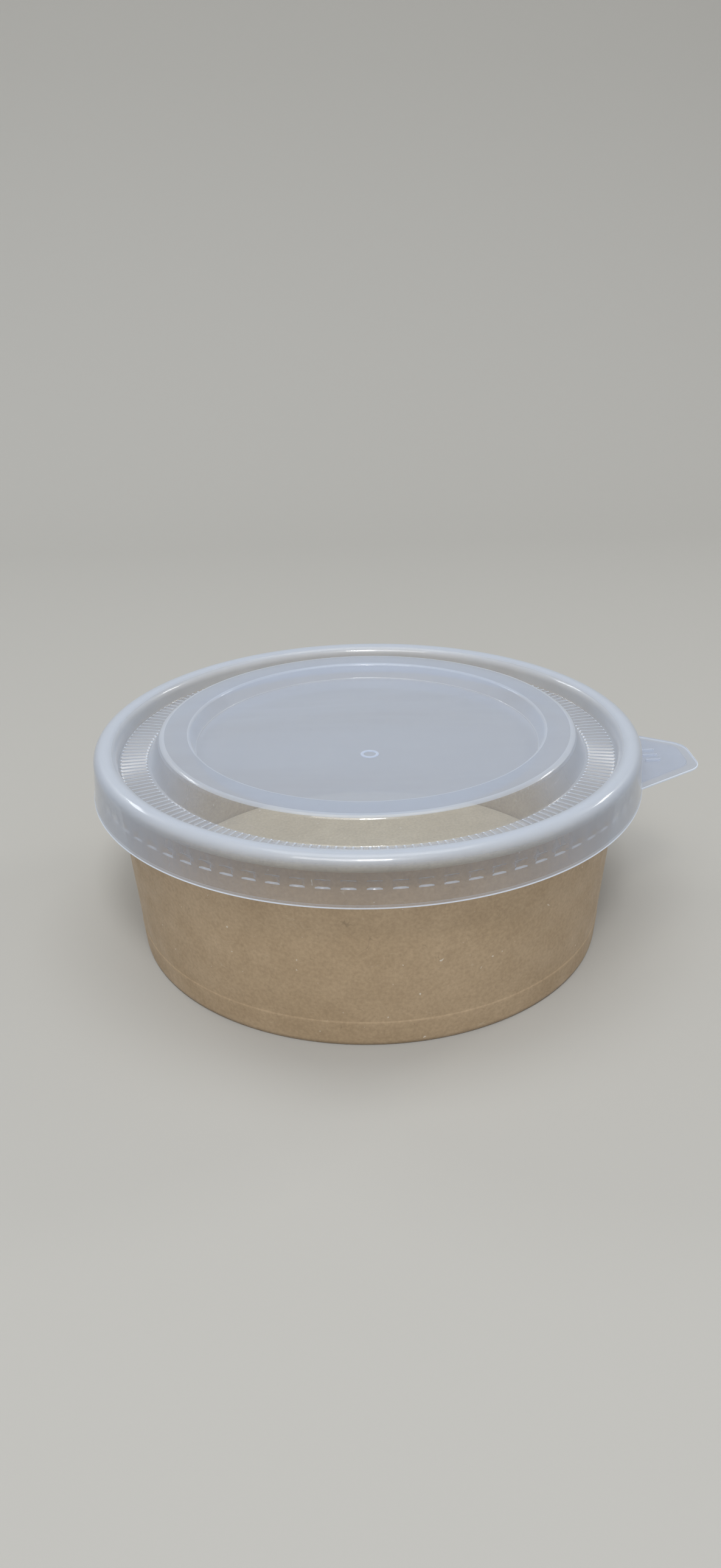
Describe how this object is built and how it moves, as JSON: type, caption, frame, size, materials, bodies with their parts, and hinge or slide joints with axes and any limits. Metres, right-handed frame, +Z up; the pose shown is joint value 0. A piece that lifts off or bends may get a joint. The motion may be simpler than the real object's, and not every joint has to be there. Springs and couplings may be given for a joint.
{
  "type": "paper salad bowl with snap lid",
  "caption": "Round kraft paper food bowl with a rolled rim and a recessed base, closed by a frosted clear snap lid with a ribbed channel, raised ring and pull tab.",
  "frame": {"origin": "middle of the bowl's foot, on the surface it stands on", "axes": "+Z up along the bowl's axis, the way the lid lifts; +X along the lid's pull tab"},
  "size_m": [0.1711, 0.1536, 0.0604],
  "materials": {
    "kraft_board": "coated kraft board, satin",
    "kraft_base": "coated kraft board, satin",
    "clear_lid": "frosted translucent moulding"
  },
  "bodies": {
    "bowl": {"bowl_wall": "kraft_board", "bowl_base": "kraft_base"},
    "lid": {"lid": "clear_lid"}
  },
  "joints": [
    {"name": "lid_lift", "type": "slide", "parent": "bowl", "child": "lid", "axis": [0, 0, 1], "range_m": [0, 0.06]}
  ]
}
